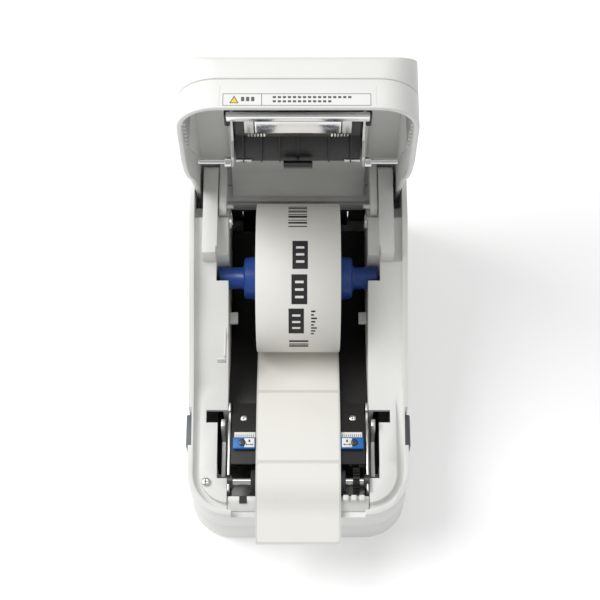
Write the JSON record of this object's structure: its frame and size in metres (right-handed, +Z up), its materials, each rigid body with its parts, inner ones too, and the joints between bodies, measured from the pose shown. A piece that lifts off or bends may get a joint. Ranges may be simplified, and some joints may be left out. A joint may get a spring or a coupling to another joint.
{
  "type": "thermal label printer",
  "caption": "Compact desktop label printer with its cover open, showing the label roll, the print head and the platen.",
  "frame": {"origin": "centre of the footprint of the whole printer with its cover open, at the undersides of its feet", "axes": "+Z up, +Y towards the back, +X to the right of someone who faces the front"},
  "size_m": [0.1394, 0.2416, 0.2839],
  "materials": {
    "housing": "fine satin texture, warm off-white",
    "black_plastic": "matt",
    "grey_plastic": "satin",
    "blue_plastic": "moulded",
    "steel": "bright",
    "rubber": "matt",
    "paper": "coated label paper",
    "card": "card tube",
    "board": "solder mask"
  },
  "bodies": {
    "root": {"base_tray": "housing", "base_upper_case": "housing", "bearing_left": "grey_plastic", "bearing_right": "grey_plastic", "corner_screw": "steel", "data_port": "steel", "foot_front_left": "rubber", "foot_front_right": "rubber", "foot_rear_left": "rubber", "foot_rear_right": "rubber", "front_bezel": "housing", "hinge_pin_left": "steel", "hinge_pin_right": "steel", "hinge_spring_left": "steel", "hinge_spring_right": "steel", "idler_stud": "steel", "label_web": "paper", "main_board": "board", "paper_guide_plate": "black_plastic", "power_inlet": "black_plastic", "print_frame": "steel", "rear_panel": "grey_plastic", "roll_tub": "black_plastic", "stepper_motor": "grey_plastic"},
    "roll": {"paper_roll": "paper", "roll_core": "card", "spindle": "blue_plastic", "spindle_flange": "blue_plastic"},
    "platen": {"platen_rubber": "rubber", "platen_shaft": "steel", "platen_gear": "black_plastic"},
    "idler": {"idler_gear": "black_plastic"},
    "pinion": {"motor_pinion": "steel"},
    "switch": {"power_switch": "black_plastic"},
    "cover": {"cover_top_shell": "housing", "cover_lower_shell": "housing", "head_carrier": "black_plastic", "media_sensor_roller": "grey_plastic", "head_cheek_left": "steel", "head_cheek_right": "steel", "latch_pin_left": "steel", "latch_pin_right": "steel", "hinge_arm_left": "housing", "hinge_arm_right": "housing", "head_spring_left": "steel", "head_spring_right": "steel"},
    "head": {"thermal_head": "steel", "head_bracket": "black_plastic"},
    "guide_left": {"width_guide_left": "blue_plastic", "guide_screw_left": "grey_plastic"},
    "hook_left": {"latch_hook_left": "steel"},
    "button_left": {"release_button_left": "grey_plastic"},
    "guide_right": {"width_guide_right": "blue_plastic", "guide_screw_right": "grey_plastic"},
    "hook_right": {"latch_hook_right": "steel"},
    "button_right": {"release_button_right": "grey_plastic"}
  },
  "joints": [
    {"name": "cover_hinge", "type": "hinge", "parent": "root", "child": "cover", "pos_m": [0, 0.08375, 0.1], "axis": [1, 0, 0], "range_deg": [0, 91]},
    {"name": "roll_spin", "type": "hinge", "parent": "root", "child": "roll", "pos_m": [0, 0.04575, 0.075], "axis": [1, 0, 0], "continuous": true},
    {"name": "platen_spin", "type": "hinge", "parent": "root", "child": "platen", "pos_m": [0, -0.08275, 0.0575], "axis": [1, 0, 0], "continuous": true},
    {"name": "idler_spin", "type": "hinge", "parent": "root", "child": "idler", "pos_m": [0, -0.06842, 0.04518], "axis": [1, 0, 0], "continuous": true},
    {"name": "pinion_spin", "type": "hinge", "parent": "root", "child": "pinion", "pos_m": [0, -0.05325, 0.0472], "axis": [1, 0, 0], "continuous": true},
    {"name": "power_rocker", "type": "hinge", "parent": "root", "child": "switch", "pos_m": [0.026, 0.11675, 0.018], "axis": [1, 0, 0], "range_deg": [-6, 0]},
    {"name": "head_tilt", "type": "hinge", "parent": "cover", "child": "head", "pos_m": [0, 0.05521, 0.24702], "axis": [-1, 0, 0], "range_deg": [0, 2.5], "stiffness_Nm_per_rad": 0.5},
    {"name": "release_button_left", "type": "slide", "parent": "root", "child": "button_left", "axis": [1, 0, 0], "range_m": [0, 0.0015], "stiffness_N_per_m": 400},
    {"name": "hook_left", "type": "hinge", "parent": "root", "child": "hook_left", "pos_m": [-0.0462, -0.07225, 0.049], "axis": [1, 0, 0], "range_deg": [0, 6.01], "stiffness_Nm_per_rad": 0.05},
    {"name": "width_guide_left", "type": "slide", "parent": "root", "child": "guide_left", "axis": [-1, 0, 0], "range_m": [0, 0.003]},
    {"name": "release_button_right", "type": "slide", "parent": "root", "child": "button_right", "axis": [-1, 0, 0], "range_m": [0, 0.0015], "stiffness_N_per_m": 400},
    {"name": "hook_right", "type": "hinge", "parent": "root", "child": "hook_right", "pos_m": [0.0462, -0.07225, 0.049], "axis": [1, 0, 0], "range_deg": [0, 6.01], "stiffness_Nm_per_rad": 0.05},
    {"name": "width_guide_right", "type": "slide", "parent": "root", "child": "guide_right", "axis": [1, 0, 0], "range_m": [0, 0.003]}
  ],
  "couplings": [
    {"joint": "idler_spin", "follows": "platen_spin", "ratio": -0.76},
    {"joint": "pinion_spin", "follows": "platen_spin", "ratio": 1.9},
    {"joint": "hook_left", "follows": "release_button_left", "rad_per_m": 69.8},
    {"joint": "hook_right", "follows": "release_button_right", "rad_per_m": 69.8}
  ]
}
